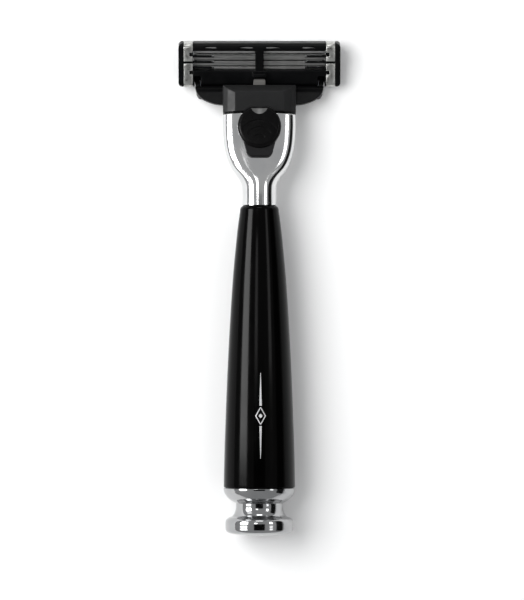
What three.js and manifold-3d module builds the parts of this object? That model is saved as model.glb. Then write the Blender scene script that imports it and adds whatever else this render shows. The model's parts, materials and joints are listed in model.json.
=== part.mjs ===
// Triple-blade cartridge razor, lying face down: +Z up, +Y towards the head, +X to the right, millimetres.
// The origin is below the middle of the razor, on the surface that it lies on.
import * as THREE from 'three';
import { mergeVertices } from 'three/addons/utils/BufferGeometryUtils.js';
import Module from 'manifold-3d';

const wasm = await Module();
wasm.setup();

// ---- driving dimensions ----
const HALF_LENGTH = 64;
const GAP = 0.3;
const RADIAL_STEPS = 32;
const BEYOND = 20;

// handle, round about a level axis
const CAP_RADIUS = 9.3;
const AXIS_HEIGHT = CAP_RADIUS;
const BARREL_TOP = 21.2;
const BARREL_END = -51.7;
const BARREL_TOP_RADIUS = 5;
const BARREL_END_RADIUS = 9.25;
const BARREL_SHOULDER = 1.2;
const BARREL_BORE = 3.6;
const TUBE_OUTER = 3.4;
const TUBE_INNER = 2.8;
const BUSH_RADIUS = 2.75;
const BUSH_LENGTH = 9;
const BUSH_SET_BACK = 1;
const STUD_RADIUS = 1.9;
const STUD_BORE = 2;
const NECK_STUD_BACK = 12;
const NECK_STUD_FRONT = 7;
const CAP_STUD_INTO_BARREL = 12;
const CAP_BORE_END = -58;
const WASHER_THICKNESS = 0.4;
const WASHER_PLAY = 0.1;
const WASHER_RADIUS = 5;
const CAP_TOP = BARREL_END - 0.1;
const CAP_RECESS_RADIUS = WASHER_RADIUS + 0.2;
const CAP_RECESS_FLOOR = CAP_TOP - WASHER_THICKNESS - WASHER_PLAY;
const WAIST_RADIUS = 6.05;
const FOOT_FLAT_RADIUS = 5;

// neck, from the dock face back to the barrel
const NECK_RADIUS = 4.5;
const DOCK_HALF_WIDTH = 9.43;
const DOCK_HALF_THICKNESS = 3.9;
const DOCK_Y = 44.7;
const DOCK_TILT = THREE.MathUtils.degToRad(8);
const BEND_START_Y = 24;
const BEND_END_Y = 38;
const BEND_RADIUS = (BEND_END_Y - BEND_START_Y) / Math.sin(DOCK_TILT);
const BEND_DROP = BEND_RADIUS * (1 - Math.cos(DOCK_TILT));
const DOCK_Z = AXIS_HEIGHT - BEND_DROP - (DOCK_Y - BEND_END_Y) * Math.tan(DOCK_TILT);

// dock: lengths below are in the dock frame, whose y runs forward out of the neck's face
const INSERT_HALF_WIDTH = 6.2;
const INSERT_LENGTH = 11;
const INSERT_BOTTOM = -2.6;
const INSERT_TOP = 2.75;
const INSERT_PLAY = 0.15;
const SOCKET_PLAY = 0.2;
const NOSE_LENGTH = 5.2;
const PLUNGER_HALF_WIDTH = 1.55;
const PLUNGER_HALF_THICKNESS = 1.1;
const PLUNGER_BACK_Y = -1.6;
const PLUNGER_TIP_Y = 9.45;
const PLUNGER_PLAY = 0.2;
const FLANGE_HALF_WIDTH = 2.6;
const FLANGE_HALF_THICKNESS = 1.05;
const FLANGE_FRONT_Y = -0.4;
const FLANGE_STOP_Y = 1.5;
const SPRING_RADIUS = 0.55;
const SPRING_WIRE_RADIUS = 0.14;
const SPRING_TURNS = 6;
const SPRING_BACK_Y = -9.5;
const SPRING_LENGTH = 9.9;
const SPRING_SEAT_HALF = 0.85;
const SPRING_SEAT_END_Y = 0.8;
const SLIDER_BOTTOM = 1.75;
const SLIDER_TOP = 2.5;
const SLIDER_PLAY = 0.2;
const SLIDER_HALF_WIDTH = 4.6;
const SLIDER_BACK_Y = -10.6;
const SLIDER_PLATE_FRONT_Y = -5.6;
const PRONG_INNER = 3.15;
const PRONG_TIP_Y = 4.9;
const SPRING_TAB_HALF = 1.3;
const SPRING_TAB_FRONT_Y = -9.9;
const STEM_HALF = 1.2;
const STEM_BACK_Y = -9.6;
const STEM_FRONT_Y = -6.9;
const STEM_TOP = 4.1;
const STEM_SLOT_HALF = 1.5;
const STEM_SLOT_BACK_Y = -9.9;
const STEM_SLOT_FRONT_Y = -1.4;
const SCREW_Y = -6;
const SCREW_Z = -3.35;
const SCREW_HEAD_RADIUS = 1;
const SCREW_HEAD_HEIGHT = 0.9;
const SCREW_SHANK_RADIUS = 0.65;
const SCREW_SHANK_LENGTH = 1.8;
const SCREW_PLAY = 0.15;

// release button, on top of the neck
const PAD_RADIUS = 5.65;
const PAD_Y = -4;
const PAD_FLAT = 5.1;
const PAD_BOTTOM = 4.4;
const PAD_TOP = 6.7;
const TAIL_TOP = 5.5;
const TAIL_START_Y = -6;
const TAIL_CORNER_Y = -10.5;
const TAIL_END_Y = -11.75;
const TAIL_START_HALF = 4.6;
const TAIL_END_HALF = 3.6;
const GRIP_CENTRE_Y = PAD_Y - 4;
const SCOOP_RADIUS = 4;
const SCOOP_SLOPE = 0.42;
const SCOOP_DEPTH = 0.85;
const GRIP_RADII = [1.7, 3.6, 5.5];
const GRIP_HALF_WIDTH = 0.2;
const GRIP_DEPTH = 0.12;

// cartridge: u runs from guard to cap, n from the shaving face to the back
const CARTRIDGE_TILT = THREE.MathUtils.degToRad(15);
const CARTRIDGE_WIDTH = 42;
const CARTRIDGE_HEIGHT = 11.6;
const CARTRIDGE_DEPTH = 4.6;
const CORNER_RADIUS = 1.2;
const CORNER_SET_BACK = CORNER_RADIUS * (Math.sin(CARTRIDGE_TILT) + Math.cos(CARTRIDGE_TILT) - 1);
const GUARD_Y = HALF_LENGTH + CORNER_SET_BACK - CARTRIDGE_HEIGHT * Math.cos(CARTRIDGE_TILT);
const BAY_START_U = 4.5;
const BAY_END_U = 9.9;
const WINDOW_HALF_WIDTH = 17.2;
const RIB_HALF_WIDTH = 1.1;
const CLIP_WIDTH = 2.3;
const CLIP_THICKNESS = 0.3;
const CLIP_INNER = WINDOW_HALF_WIDTH + 0.05;
const PIVOT_U = 1.6;
const PIVOT_N = 1.5;
const PIN_RADIUS = 0.75;
const BLADE_PITCH = 1.5;
const FIRST_EDGE_U = BAY_START_U + 0.15;
const BLADE_COUNT = 3;
const BLADE_SLOPE = THREE.MathUtils.degToRad(22);
const CARRIER_RUN = 0.65;
const FLANGE_REACH = 0.5;
const CARRIER_THICKNESS = 0.2;
const CARRIER_TOP = 3.3;
const BLADE_BAY_TOP = 3.8;
const WINDOW_BOTTOM = 3;
const COMB_HALF = 14.6;
const STRIP_HALF = 16.6;
const STRIP_START_U = 9.65;
const STRIP_END_U = 10.95;
const RECESS_TOP = 0.75;
const RECESS_PLAY = 0.15;
const LEG_GAP_START_U = 6.35;
const LEG_GAP_END_U = 6.95;
const NOTCH_STARTS_U = [3.5, 8.3];
const NOTCH_LENGTH = 1;
const NOTCH_DEPTH = 0.8;
const RAIL_SLOT_U = 10.55;
const RAIL_SLOT_HALF_HEIGHT = 0.22;
const RAIL_SLOT_DEPTH = 0.3;
const RAIL_SLOTS = [[11.1, 14.3], [1.7, 5.2]];
const LUG_HALF_WIDTH = 1.7;
const LUG_TOP = 6;

// interconnect, in the dock frame
const SHELL_INNER = 3.95;
const SHELL_OUTER = 5.3;
const SHELL_UPPER_ANGLE = 127;
const SHELL_LOWER_ANGLE = 205;
const LUG_ROOM_RADIUS = 5.1;
const LUG_ROOM_HALF = 2.1;
const WING_INNER_X = 8.6;
const WING_OUTER_X = 16.65;
const WING_BACK_Y = 2.7;
const WING_WIDEST_Y = 7.6;
const WING_FRONT_Y = 9;
const ARM_THICKNESS = 1.2;
const ARM_EYE_RADIUS = 1.15;
const ARM_PLAY = 0.3;
const ARM_SET_IN = 1.7;
const PIN_LENGTH = 2.6;

const blackPlastic = () => new THREE.MeshStandardMaterial({ color: 0x17181a, roughness: 0.45, metalness: 0 });
const blackResin = () => new THREE.MeshStandardMaterial({ color: 0x050505, roughness: 0.12, metalness: 0 });
const chrome = () => new THREE.MeshStandardMaterial({ color: 0xd8d9da, roughness: 0.08, metalness: 1 });
const aluminium = () => new THREE.MeshStandardMaterial({ color: 0xc9c9c5, roughness: 0.3, metalness: 1 });
const steel = () => new THREE.MeshStandardMaterial({ color: 0x9a9c9e, roughness: 0.28, metalness: 1 });
const brass = () => new THREE.MeshStandardMaterial({ color: 0xb08d45, roughness: 0.3, metalness: 1 });
const rubber = () => new THREE.MeshStandardMaterial({ color: 0x1c2a3a, roughness: 0.8, metalness: 0 });
const gel = () => new THREE.MeshStandardMaterial({ color: 0xb9c7c4, roughness: 0.5, metalness: 0 });

// ---- helpers ----

// Keeps positions only and joins equal vertices, so that the geometry is one closed skin.
function weld(geometry) {
  const bare = geometry.clone();
  bare.deleteAttribute('normal');
  bare.deleteAttribute('uv');
  return mergeVertices(bare, 1e-4);
}

function toSolid(geometry) {
  const skin = weld(geometry);
  return new wasm.Manifold(new wasm.Mesh({
    numProp: 3,
    vertProperties: new Float32Array(skin.attributes.position.array),
    triVerts: new Uint32Array(skin.index.array),
  }));
}

function toGeometry(solid) {
  const mesh = solid.getMesh();
  const geometry = new THREE.BufferGeometry();
  geometry.setAttribute('position', new THREE.BufferAttribute(new Float32Array(mesh.vertProperties), 3));
  geometry.setIndex(new THREE.BufferAttribute(new Uint32Array(mesh.triVerts), 1));
  geometry.computeVertexNormals();
  return geometry;
}

function cut(body, ...tools) {
  return toGeometry(tools.reduce((solid, tool) => solid.subtract(toSolid(tool)), toSolid(body)));
}

function join(...bodies) {
  return toGeometry(bodies.map(toSolid).reduce((sum, solid) => sum.add(solid)));
}

function common(a, b) {
  return toGeometry(toSolid(a).intersect(toSolid(b)));
}

// A box given by its lowest and highest corners.
function block(low, high) {
  const size = high.map((value, i) => value - low[i]);
  const box = new THREE.BoxGeometry(...size);
  return box.translate(...low.map((value, i) => value + size[i] / 2));
}

// Extrudes an outline given in (y, z) from x0 to x1.
function extrudeAcross(outline, x0, x1) {
  const shape = outline instanceof THREE.Shape ? outline : new THREE.Shape(outline);
  const geometry = new THREE.ExtrudeGeometry(shape, { depth: x1 - x0, bevelEnabled: false, curveSegments: 5 });
  const axes = new THREE.Matrix4().makeBasis(
    new THREE.Vector3(0, 1, 0),
    new THREE.Vector3(0, 0, 1),
    new THREE.Vector3(1, 0, 0),
  );
  return geometry.applyMatrix4(axes).translate(x0, 0, 0);
}

// Extrudes an outline given in (x, z) from y0 to y1.
function extrudeAlong(outline, y0, y1) {
  const shape = outline instanceof THREE.Shape ? outline : new THREE.Shape(outline);
  const geometry = new THREE.ExtrudeGeometry(shape, { depth: y1 - y0, bevelEnabled: false, curveSegments: 5 });
  return geometry.rotateX(Math.PI / 2).translate(0, y1, 0);
}

// Extrudes an outline given in (x, y) from z0 to z1.
function extrudeUp(outline, z0, z1) {
  const shape = outline instanceof THREE.Shape ? outline : new THREE.Shape(outline);
  const geometry = new THREE.ExtrudeGeometry(shape, { depth: z1 - z0, bevelEnabled: false, curveSegments: 5 });
  return geometry.translate(0, 0, z0);
}

function points(pairs) {
  return pairs.map(([a, b]) => new THREE.Vector2(a, b));
}

// A rectangle with round corners, as a shape.
function roundedRectangle(x0, y0, x1, y1, radius) {
  const shape = new THREE.Shape();
  shape.absarc(x1 - radius, y0 + radius, radius, -Math.PI / 2, 0);
  shape.absarc(x1 - radius, y1 - radius, radius, 0, Math.PI / 2);
  shape.absarc(x0 + radius, y1 - radius, radius, Math.PI / 2, Math.PI);
  shape.absarc(x0 + radius, y0 + radius, radius, Math.PI, Math.PI * 1.5);
  return shape;
}

// Closes a stack of equal rings into one skin, with a fan over each end.
function loft(rings) {
  const count = rings[0].length;
  const position = rings.flat().flatMap((p) => [p.x, p.y, p.z]);
  const index = [];
  for (let r = 0; r < rings.length - 1; r += 1) {
    for (let i = 0; i < count; i += 1) {
      const a = r * count + i;
      const b = r * count + (i + 1) % count;
      index.push(a, b, b + count, a, b + count, a + count);
    }
  }
  const last = (rings.length - 1) * count;
  for (let i = 1; i < count - 1; i += 1) {
    index.push(0, i + 1, i);
    index.push(last, last + i, last + i + 1);
  }
  const geometry = new THREE.BufferGeometry();
  geometry.setAttribute('position', new THREE.BufferAttribute(new Float32Array(position), 3));
  geometry.setIndex(index);
  return geometry;
}

// A turned piece about the Y axis; the profile is a list of (radius, y).
function turned(profile, steps = RADIAL_STEPS) {
  return new THREE.LatheGeometry(points(profile), steps);
}

function rod(radius, y0, y1, steps = 24) {
  return turned([[0, y0], [radius, y0], [radius, y1], [0, y1]], steps);
}

// Closed profile of a plain sleeve, for turned().
function sleeve(inner, outer, y0, y1) {
  return [[inner, y0], [outer, y0], [outer, y1], [inner, y1], [inner, y0]];
}

// A box whose x range is given on the right and mirrored for side -1.
function sidedBlock(side, x0, x1, low, high) {
  const near = Math.min(side * x0, side * x1);
  const far = Math.max(side * x0, side * x1);
  return block([near, ...low], [far, ...high]);
}

// A pin across the razor, centred on a point of the (y, z) plane.
function crossPin(radius, length, x, y, z, steps = 36) {
  return new THREE.CylinderGeometry(radius, radius, length, steps).rotateZ(Math.PI / 2).translate(x, y, z);
}

function addMesh(group, name, geometry, material) {
  const mesh = new THREE.Mesh(geometry, material);
  mesh.name = name;
  group.add(mesh);
  return mesh;
}

// ---- frames ----
const razor = new THREE.Group();
const handle = new THREE.Group();
handle.position.set(0, 0, AXIS_HEIGHT);
const dock = new THREE.Group();
dock.position.set(0, DOCK_Y, DOCK_Z);
dock.rotation.x = -DOCK_TILT;
const cartridge = new THREE.Group();
cartridge.position.set(0, GUARD_Y, -CORNER_SET_BACK);
cartridge.rotation.x = CARTRIDGE_TILT;
razor.add(handle, dock, cartridge);
razor.updateMatrixWorld(true);
const dockToWorld = dock.matrixWorld.clone();
const worldToDock = dockToWorld.clone().invert();

// The pivot axis as a point in the dock frame.
const pivotInDock = new THREE.Vector3(0, PIVOT_U, PIVOT_N)
  .applyMatrix4(cartridge.matrixWorld)
  .applyMatrix4(worldToDock);

// ---- handle ----

// Barrel radius at a height along the axis: a long swelling curve below a small round shoulder.
function barrelProfile() {
  const shoulderY = BARREL_TOP - BARREL_SHOULDER;
  const swell = new THREE.SplineCurve(points([
    [BARREL_TOP_RADIUS, shoulderY],
    [5.95, 12.3],
    [7.1, -0.65],
    [8.2, -20],
    [8.95, -39.4],
    [BARREL_END_RADIUS, BARREL_END],
  ]));
  const profile = [[BARREL_BORE, BARREL_END]];
  swell.getPoints(9).reverse().forEach((p) => profile.push([p.x, p.y]));
  for (let i = 1; i <= 4; i += 1) {
    const angle = (i / 4) * Math.PI / 2;
    const inward = BARREL_SHOULDER * (1 - Math.cos(angle));
    profile.push([BARREL_TOP_RADIUS - inward, shoulderY + BARREL_SHOULDER * Math.sin(angle)]);
  }
  profile.push([BARREL_BORE, BARREL_TOP], [BARREL_BORE, BARREL_END]);
  return profile;
}

// Round cup under the barrel, hollow waist, and a thick disc foot with a round rim and a slightly coned end.
function endCapProfile() {
  return [
    [0, -HALF_LENGTH],
    [FOOT_FLAT_RADIUS, -HALF_LENGTH],
    [7.4, -63.5],
    [8.3, -63],
    [8.75, -62.2],
    [8.8, -61.1],
    [8.5, -60.2],
    [7.9, -59.5],
    [6.95, -59],
    [6.35, -58.1],
    [WAIST_RADIUS, -57],
    [WAIST_RADIUS, -55.7],
    [6.65, -55.4],
    [7.95, -54.6],
    [8.9, -53.4],
    [9.2, -52.5],
    [CAP_RADIUS, CAP_TOP],
    [CAP_RECESS_RADIUS, CAP_TOP],
    [CAP_RECESS_RADIUS, CAP_RECESS_FLOOR],
    [STUD_BORE, CAP_RECESS_FLOOR],
    [STUD_BORE, CAP_BORE_END],
    [0, CAP_BORE_END],
  ];
}

function buildHandle() {
  addMesh(handle, 'handle_barrel', turned(barrelProfile()), blackResin());
  const tube = turned(sleeve(TUBE_INNER, TUBE_OUTER, BARREL_END + GAP, BARREL_TOP - GAP), 24);
  addMesh(handle, 'core_tube', tube, brass());
  const bush = (y0) => turned(sleeve(STUD_BORE, BUSH_RADIUS, y0, y0 + BUSH_LENGTH), 24);
  addMesh(handle, 'tube_bush_front', bush(BARREL_TOP - BUSH_SET_BACK - BUSH_LENGTH), brass());
  addMesh(handle, 'tube_bush_rear', bush(BARREL_END + BUSH_SET_BACK), brass());
  const neckStud = rod(STUD_RADIUS, BARREL_TOP - NECK_STUD_BACK, BARREL_TOP + NECK_STUD_FRONT);
  addMesh(handle, 'neck_stud', neckStud, steel());
  addMesh(handle, 'end_cap', turned(endCapProfile()), chrome());
  const capStud = rod(STUD_RADIUS, CAP_BORE_END + GAP, BARREL_END + CAP_STUD_INTO_BARREL);
  addMesh(handle, 'end_cap_stud', capStud, steel());
  const washerTop = CAP_TOP - WASHER_PLAY / 2;
  const washer = turned(sleeve(STUD_BORE, WASHER_RADIUS, washerTop - WASHER_THICKNESS, washerTop));
  addMesh(handle, 'end_cap_washer', washer, steel());
}

// ---- neck ----

// Height of the neck's centre line: level, then a gentle bend, then straight down to the dock.
function neckCentre(y) {
  if (y <= BEND_START_Y) return AXIS_HEIGHT;
  if (y >= BEND_END_Y) return AXIS_HEIGHT - BEND_DROP - (y - BEND_END_Y) * Math.tan(DOCK_TILT);
  return AXIS_HEIGHT - BEND_RADIUS + Math.sqrt(BEND_RADIUS ** 2 - (y - BEND_START_Y) ** 2);
}

function neckTilt(y) {
  if (y <= BEND_START_Y) return 0;
  return Math.min(DOCK_TILT, Math.asin((y - BEND_START_Y) / BEND_RADIUS));
}

const neckWidth = new THREE.SplineCurve(points([
  [BARREL_TOP + 0.1, NECK_RADIUS], [25, NECK_RADIUS], [26.6, 4.65], [28.2, 5.45],
  [30.9, 7.34], [33.9, 8.53], [37, 9.15], [41, DOCK_HALF_WIDTH], [DOCK_Y, DOCK_HALF_WIDTH],
]));

// One superellipse ring of the neck, square to its centre line.
function neckRing(y, halfWidth, count = 32) {
  const spread = THREE.MathUtils.smoothstep(halfWidth, NECK_RADIUS, DOCK_HALF_WIDTH);
  const halfThickness = THREE.MathUtils.lerp(NECK_RADIUS, DOCK_HALF_THICKNESS, spread);
  const power = 2 / THREE.MathUtils.lerp(2, 3, spread);
  const tilt = neckTilt(y);
  const ring = [];
  for (let i = 0; i < count; i += 1) {
    const angle = i / count * Math.PI * 2;
    const c = Math.cos(angle);
    const s = Math.sin(angle);
    const across = -halfWidth * Math.sign(c) * Math.abs(c) ** power;
    const up = halfThickness * Math.sign(s) * Math.abs(s) ** power;
    ring.push(new THREE.Vector3(across, y + up * Math.sin(tilt), neckCentre(y) + up * Math.cos(tilt)));
  }
  return ring;
}

function inDock(geometry) {
  return geometry.applyMatrix4(dockToWorld);
}

function insertSection(margin) {
  return roundedRectangle(
    -INSERT_HALF_WIDTH - margin, INSERT_BOTTOM - margin, INSERT_HALF_WIDTH + margin, INSERT_TOP + margin, 1,
  );
}

function buildNeck() {
  const stations = neckWidth.getPoints(14);
  const skin = loft(stations.map((p) => neckRing(p.x, p.y)));
  const pocket = inDock(extrudeAlong(insertSection(INSERT_PLAY), -INSERT_LENGTH - GAP, NOSE_LENGTH));
  const slot = inDock(block(
    [-STEM_SLOT_HALF, STEM_SLOT_BACK_Y, 0],
    [STEM_SLOT_HALF, STEM_SLOT_FRONT_Y, PAD_BOTTOM + 1.6],
  ));
  const sinkRadius = SCREW_HEAD_RADIUS + SCREW_PLAY;
  const screwHole = inDock(new THREE.CylinderGeometry(sinkRadius, sinkRadius, 4, 16)
    .rotateX(Math.PI / 2)
    .translate(0, SCREW_Y, SCREW_Z - SCREW_PLAY));
  const studHole = rod(STUD_BORE, BARREL_TOP - 1, BARREL_TOP + NECK_STUD_FRONT + GAP)
    .translate(0, 0, AXIS_HEIGHT);
  addMesh(razor, 'neck_casting', cut(skin, pocket, slot, screwHole, studHole), chrome());
}

// ---- dock, plunger and release button, in the dock frame ----

function buildInsert() {
  const body = extrudeAlong(insertSection(0), -INSERT_LENGTH, NOSE_LENGTH);
  const channelHalf = PLUNGER_HALF_WIDTH + PLUNGER_PLAY;
  const channelRise = PLUNGER_HALF_THICKNESS + PLUNGER_PLAY;
  const flangeHalf = FLANGE_HALF_WIDTH + PLUNGER_PLAY;
  const recessHalf = SLIDER_HALF_WIDTH + SLIDER_PLAY;
  const recessFloor = SLIDER_BOTTOM - SLIDER_PLAY;
  const stemHalf = STEM_SLOT_HALF + 0.1;
  const screwRadius = SCREW_SHANK_RADIUS + SCREW_PLAY;
  addMesh(dock, 'dock_insert', cut(
    body,
    block([-channelHalf, -BEYOND, -channelRise], [channelHalf, BEYOND, channelRise]),
    block([-flangeHalf, -BEYOND, -channelRise], [flangeHalf, FLANGE_STOP_Y, channelRise]),
    block([-recessHalf, -BEYOND, recessFloor], [recessHalf, -0.1, BEYOND]),
    block([-stemHalf, -BEYOND, 0], [stemHalf, -0.1, BEYOND]),
    sidedBlock(1, PRONG_INNER - SLIDER_PLAY, recessHalf, [-1, recessFloor], [BEYOND, BEYOND]),
    sidedBlock(-1, PRONG_INNER - SLIDER_PLAY, recessHalf, [-1, recessFloor], [BEYOND, BEYOND]),
    new THREE.CylinderGeometry(screwRadius, screwRadius, 3, 16)
      .rotateX(Math.PI / 2)
      .translate(0, SCREW_Y, INSERT_BOTTOM),
  ), blackPlastic());
}

function buildScrew() {
  const head = new THREE.CylinderGeometry(SCREW_HEAD_RADIUS, SCREW_HEAD_RADIUS, SCREW_HEAD_HEIGHT, 20);
  const shank = new THREE.CylinderGeometry(SCREW_SHANK_RADIUS, SCREW_SHANK_RADIUS, SCREW_SHANK_LENGTH, 16)
    .translate(0, 1, 0);
  const driveSlot = new THREE.BoxGeometry(1.3, 0.5, 0.3).translate(0, -SCREW_HEAD_HEIGHT / 2, 0);
  const screw = cut(join(head, shank), driveSlot).rotateX(Math.PI / 2).translate(0, SCREW_Y, SCREW_Z);
  addMesh(dock, 'insert_screw', screw, steel());
}

function buildPlunger() {
  const shank = extrudeUp(roundedRectangle(
    -PLUNGER_HALF_WIDTH, PLUNGER_BACK_Y, PLUNGER_HALF_WIDTH, PLUNGER_TIP_Y, 0.6,
  ), -PLUNGER_HALF_THICKNESS, PLUNGER_HALF_THICKNESS);
  const flange = block(
    [-FLANGE_HALF_WIDTH, PLUNGER_BACK_Y, -FLANGE_HALF_THICKNESS],
    [FLANGE_HALF_WIDTH, FLANGE_FRONT_Y, FLANGE_HALF_THICKNESS],
  );
  const springSeat = block(
    [-SPRING_SEAT_HALF, -BEYOND, -SPRING_SEAT_HALF],
    [SPRING_SEAT_HALF, SPRING_SEAT_END_Y, SPRING_SEAT_HALF],
  );
  const side = extrudeAcross(plungerSide(), -4, 4);
  addMesh(dock, 'plunger', cut(common(join(shank, flange), side), springSeat), blackPlastic());
}

function buildSlider() {
  const prong = (side) => sidedBlock(
    side, PRONG_INNER, SLIDER_HALF_WIDTH,
    [SLIDER_PLATE_FRONT_Y - 0.4, SLIDER_BOTTOM],
    [PRONG_TIP_Y, SLIDER_TOP],
  );
  addMesh(dock, 'ejector_slider', join(
    block(
      [-SLIDER_HALF_WIDTH, SLIDER_BACK_Y, SLIDER_BOTTOM],
      [SLIDER_HALF_WIDTH, SLIDER_PLATE_FRONT_Y, SLIDER_TOP],
    ),
    prong(1),
    prong(-1),
    block([-SPRING_TAB_HALF, SLIDER_BACK_Y, -1], [SPRING_TAB_HALF, SPRING_TAB_FRONT_Y, 2]),
    block([-STEM_HALF, STEM_BACK_Y, 2], [STEM_HALF, STEM_FRONT_Y, STEM_TOP]),
  ), blackPlastic());
}

// Side outline of the plunger: flat shank with a half-round tip.
function plungerSide() {
  const shape = new THREE.Shape();
  const tip = PLUNGER_TIP_Y - PLUNGER_HALF_THICKNESS;
  const back = PLUNGER_BACK_Y - 1;
  shape.moveTo(back, -PLUNGER_HALF_THICKNESS);
  shape.lineTo(tip, -PLUNGER_HALF_THICKNESS);
  shape.absarc(tip, 0, PLUNGER_HALF_THICKNESS, -Math.PI / 2, Math.PI / 2);
  shape.lineTo(back, PLUNGER_HALF_THICKNESS);
  return shape;
}

// Round crowned pad, cut flat in front, with grip grooves, a scooped nose and a lower tail behind it.
function buttonCap() {
  const rim = 0.5;
  const pad = turned([
    [0, PAD_BOTTOM],
    [PAD_RADIUS - 0.2, PAD_BOTTOM],
    [PAD_RADIUS, PAD_BOTTOM + 0.4],
    [PAD_RADIUS, PAD_TOP - 0.9],
    [PAD_RADIUS - rim, PAD_TOP - 0.3],
    [PAD_RADIUS - 2.2, PAD_TOP],
    [0, PAD_TOP + 0.1],
  ], 28).rotateX(Math.PI / 2).translate(0, PAD_Y, 0);
  const tail = extrudeUp(roundedTail(), PAD_BOTTOM, TAIL_TOP);
  const flat = block([-PAD_RADIUS, PAD_Y + PAD_FLAT, -BEYOND], [PAD_RADIUS, BEYOND, BEYOND]);
  const scoop = new THREE.CylinderGeometry(SCOOP_RADIUS, SCOOP_RADIUS, 4, 40)
    .rotateX(Math.PI / 2 - SCOOP_SLOPE)
    .translate(0, PAD_Y + PAD_FLAT, PAD_TOP + SCOOP_RADIUS - SCOOP_DEPTH);
  const stemSocket = block(
    [-STEM_HALF - INSERT_PLAY, STEM_BACK_Y - INSERT_PLAY, PAD_BOTTOM - 1],
    [STEM_HALF + INSERT_PLAY, STEM_FRONT_Y + INSERT_PLAY, PAD_BOTTOM + 0.5],
  );
  return cut(join(pad, tail), flat, scoop, stemSocket, ...GRIP_RADII.map(gripGroove));
}

function roundedTail() {
  const shape = new THREE.Shape();
  const corner = TAIL_END_HALF - 0.3;
  const flat = TAIL_END_HALF / 2;
  shape.moveTo(TAIL_START_HALF, TAIL_START_Y);
  shape.lineTo(TAIL_END_HALF, TAIL_CORNER_Y);
  shape.quadraticCurveTo(corner, TAIL_END_Y + 0.2, flat, TAIL_END_Y);
  shape.lineTo(-flat, TAIL_END_Y);
  shape.quadraticCurveTo(-corner, TAIL_END_Y + 0.2, -TAIL_END_HALF, TAIL_CORNER_Y);
  shape.lineTo(-TAIL_START_HALF, TAIL_START_Y);
  return shape;
}

// A shallow arc-shaped groove, convex towards the head.
function gripGroove(radius) {
  const shape = new THREE.Shape();
  shape.absarc(0, 0, radius + GRIP_HALF_WIDTH, 0.6, Math.PI - 0.6);
  shape.absarc(0, 0, radius - GRIP_HALF_WIDTH, Math.PI - 0.6, 0.6, true);
  return extrudeUp(shape, PAD_TOP - GRIP_DEPTH, PAD_TOP + 1).translate(0, GRIP_CENTRE_Y, 0);
}

class Helix extends THREE.Curve {
  getPoint(t, target = new THREE.Vector3()) {
    const angle = t * Math.PI * 2 * SPRING_TURNS;
    const y = SPRING_BACK_Y + t * SPRING_LENGTH;
    return target.set(SPRING_RADIUS * Math.cos(angle), y, SPRING_RADIUS * Math.sin(angle));
  }
}

function coilSpring() {
  const wire = new THREE.Shape();
  wire.absarc(0, 0, SPRING_WIRE_RADIUS, 0, Math.PI * 2);
  return new THREE.ExtrudeGeometry(wire, {
    steps: 9 * SPRING_TURNS,
    extrudePath: new Helix(),
    curveSegments: 3,
    bevelEnabled: false,
  });
}

function buildDock() {
  buildInsert();
  buildScrew();
  buildPlunger();
  buildSlider();
  addMesh(dock, 'button_cap', buttonCap(), blackPlastic());
  addMesh(dock, 'plunger_spring', coilSpring(), steel());
}

// ---- interconnect, in the dock frame ----

// A stretch of the round shell that hugs the cartridge's guard, as an outline in (y, z).
function shellOutline(inner, outer, from, to) {
  const shape = new THREE.Shape();
  const a = THREE.MathUtils.degToRad(from);
  const b = THREE.MathUtils.degToRad(to);
  shape.absarc(pivotInDock.y, pivotInDock.z, outer, a, b);
  shape.absarc(pivotInDock.y, pivotInDock.z, inner, b, a, true);
  return shape;
}

// Socket block: a plateau with sloped sides and front, hollow from behind for the dock's nose.
function socketBlock() {
  const half = DOCK_HALF_WIDTH;
  const section = points([
    [-half, -1.8], [-half + 1.3, -3.5], [half - 1.3, -3.5], [half, -1.8],
    [half, 1.6], [half - 1.2, 2.7], [6.3, 3.8], [-6.3, 3.8], [-half + 1.2, 2.7], [-half, 1.6],
  ]);
  const side = points([[GAP, -5], [12, -5], [12, -1], [7.8, -1], [7.6, 1.6], [5.4, 3.8], [5.4, 5], [GAP, 5]]);
  const outer = common(extrudeAlong(section, GAP, 12), extrudeAcross(side, -12, 12));
  const guardRoom = crossPin(SHELL_INNER, 40, 0, pivotInDock.y, pivotInDock.z);
  const lugRoom = crossPin(LUG_ROOM_RADIUS, 2 * LUG_ROOM_HALF, 0, pivotInDock.y, pivotInDock.z);
  const socket = extrudeAlong(insertSection(SOCKET_PLAY), -1, NOSE_LENGTH + GAP);
  const holeHalf = PLUNGER_HALF_WIDTH + 0.25;
  const holeRise = PLUNGER_HALF_THICKNESS + 0.25;
  const plungerHole = block([-holeHalf, 0, -holeRise], [holeHalf, BEYOND, holeRise]);
  return cut(outer, guardRoom, socket, plungerHole, lugRoom);
}

// Plan of a wing: straight beside the block and curved like a quarter of an oval outside.
function wingPlan(frontY) {
  const plan = new THREE.Shape();
  const centreX = 9.15;
  plan.moveTo(WING_INNER_X, frontY);
  plan.lineTo(WING_INNER_X, WING_BACK_Y);
  plan.absellipse(
    centreX, WING_WIDEST_Y, WING_OUTER_X - centreX, WING_WIDEST_Y - WING_BACK_Y, -Math.PI / 2, 0,
  );
  plan.lineTo(WING_OUTER_X, frontY);
  return extrudeUp(plan, -12, 12);
}

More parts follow.
